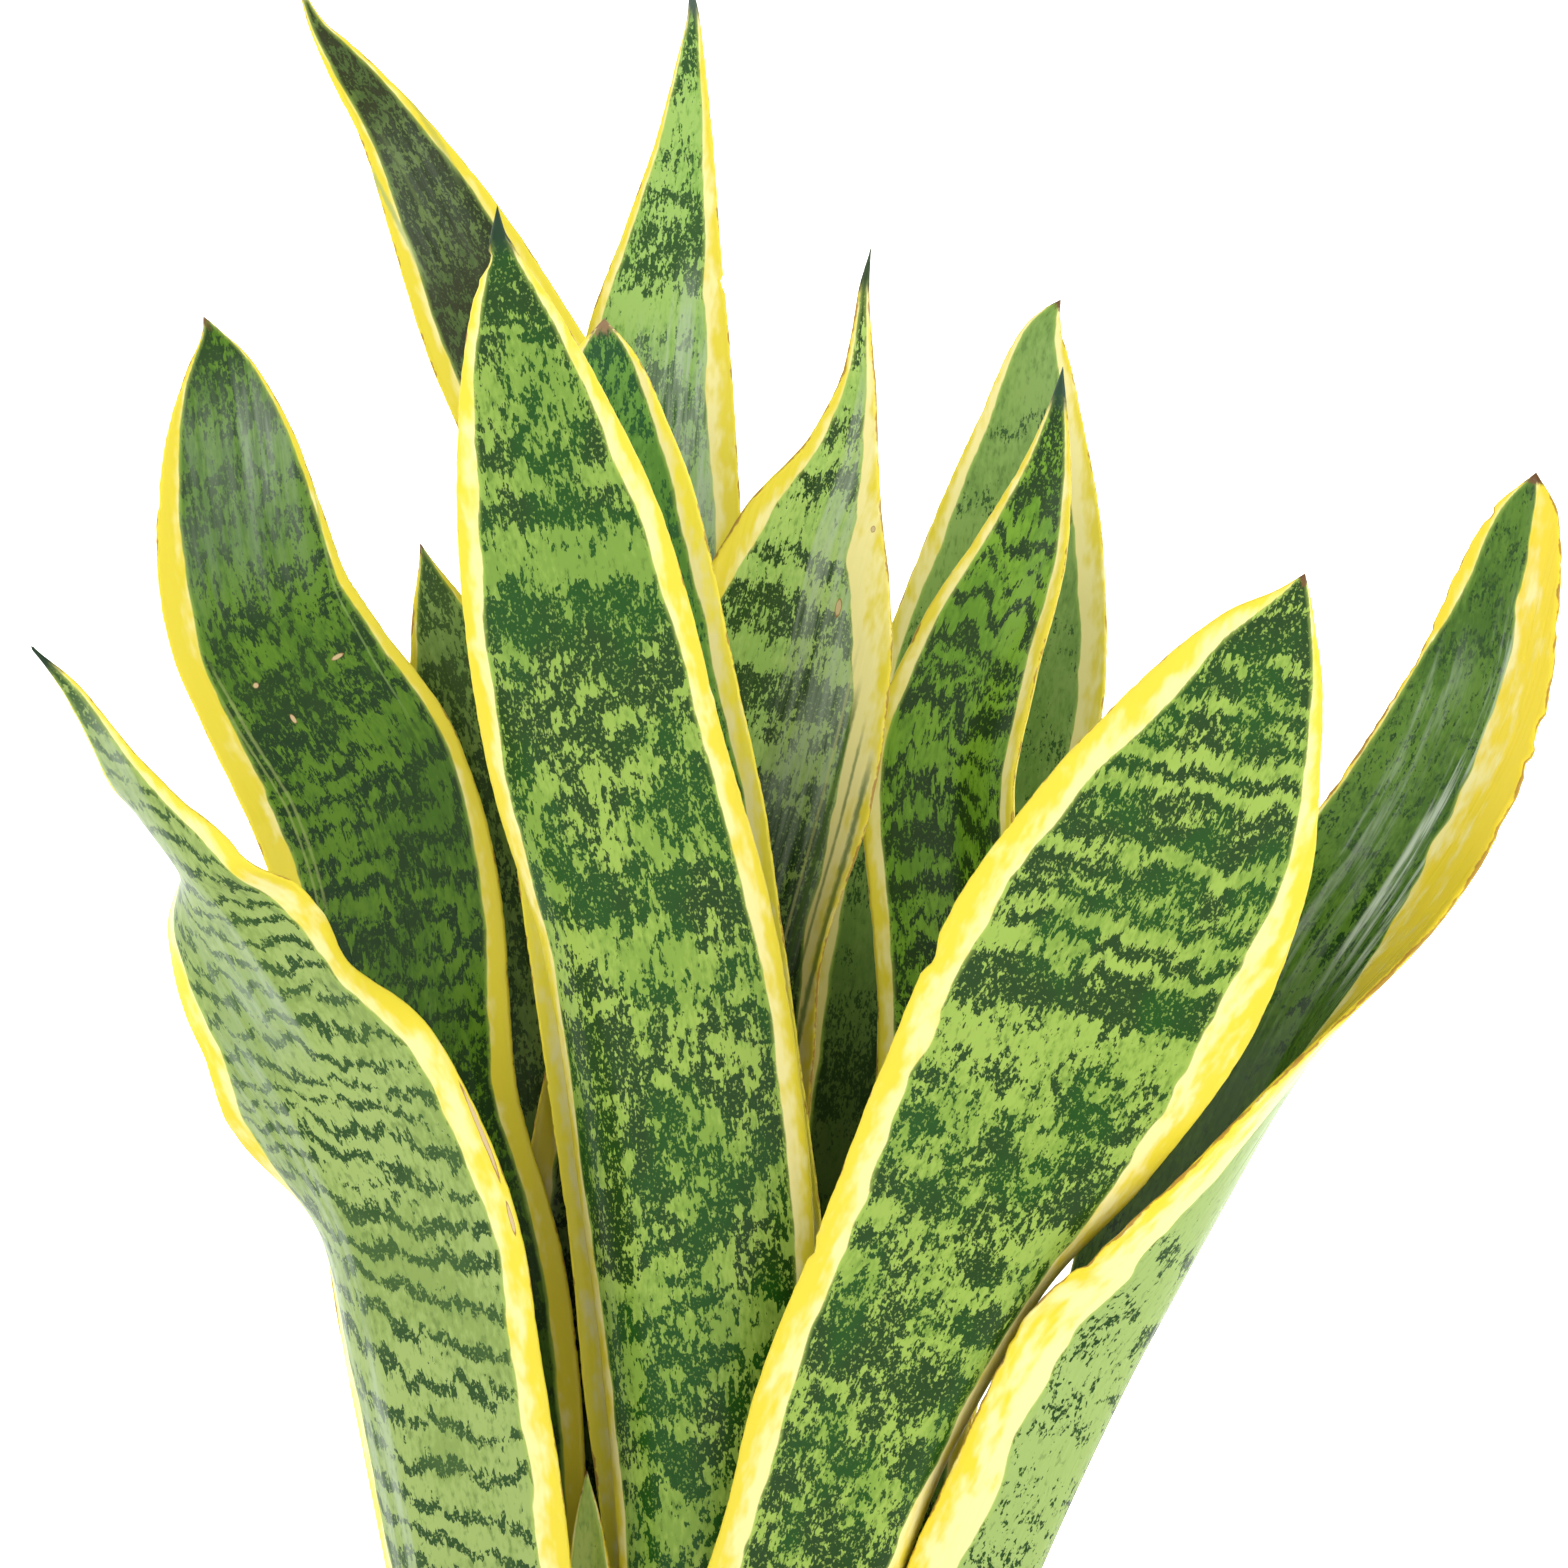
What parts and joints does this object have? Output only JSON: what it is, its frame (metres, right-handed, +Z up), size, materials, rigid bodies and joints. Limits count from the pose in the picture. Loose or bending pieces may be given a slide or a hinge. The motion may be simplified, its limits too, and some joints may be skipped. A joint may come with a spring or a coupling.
{
  "type": "potted snake plant",
  "caption": "Upright sword-shaped leaves, dark-banded green with yellow margins, growing from soil in a plain tapered clay pot.",
  "frame": {"origin": "centre of the pot's flat underside, on the surface that it stands on", "axes": "+Z up along the pot's axis; the front of the plant, as pictured, looks along -Y; +X is to the right of that view"},
  "size_m": [0.315, 0.1833, 0.5401],
  "materials": {
    "leaf": "waxy leaf skin, green with dark bands and yellow margins",
    "young_leaf": "waxy leaf skin, plain pale green",
    "rhizome": "smooth tan skin",
    "soil": "crumbly dark peat and bark",
    "pot": "unglazed, matte"
  },
  "bodies": {
    "root": {"leaf_front_centre": "leaf", "leaf_front_right": "leaf", "leaf_far_right": "leaf", "leaf_front_left": "leaf", "leaf_left": "leaf", "leaf_back_left_short": "leaf", "leaf_back_left_tall": "leaf", "leaf_back_centre": "leaf", "leaf_behind_centre": "leaf", "leaf_centre_right": "leaf", "leaf_right": "leaf", "leaf_back_right": "leaf", "leaf_young": "young_leaf", "rhizome": "rhizome", "soil": "soil", "pot": "pot"}
  },
  "joints": []
}
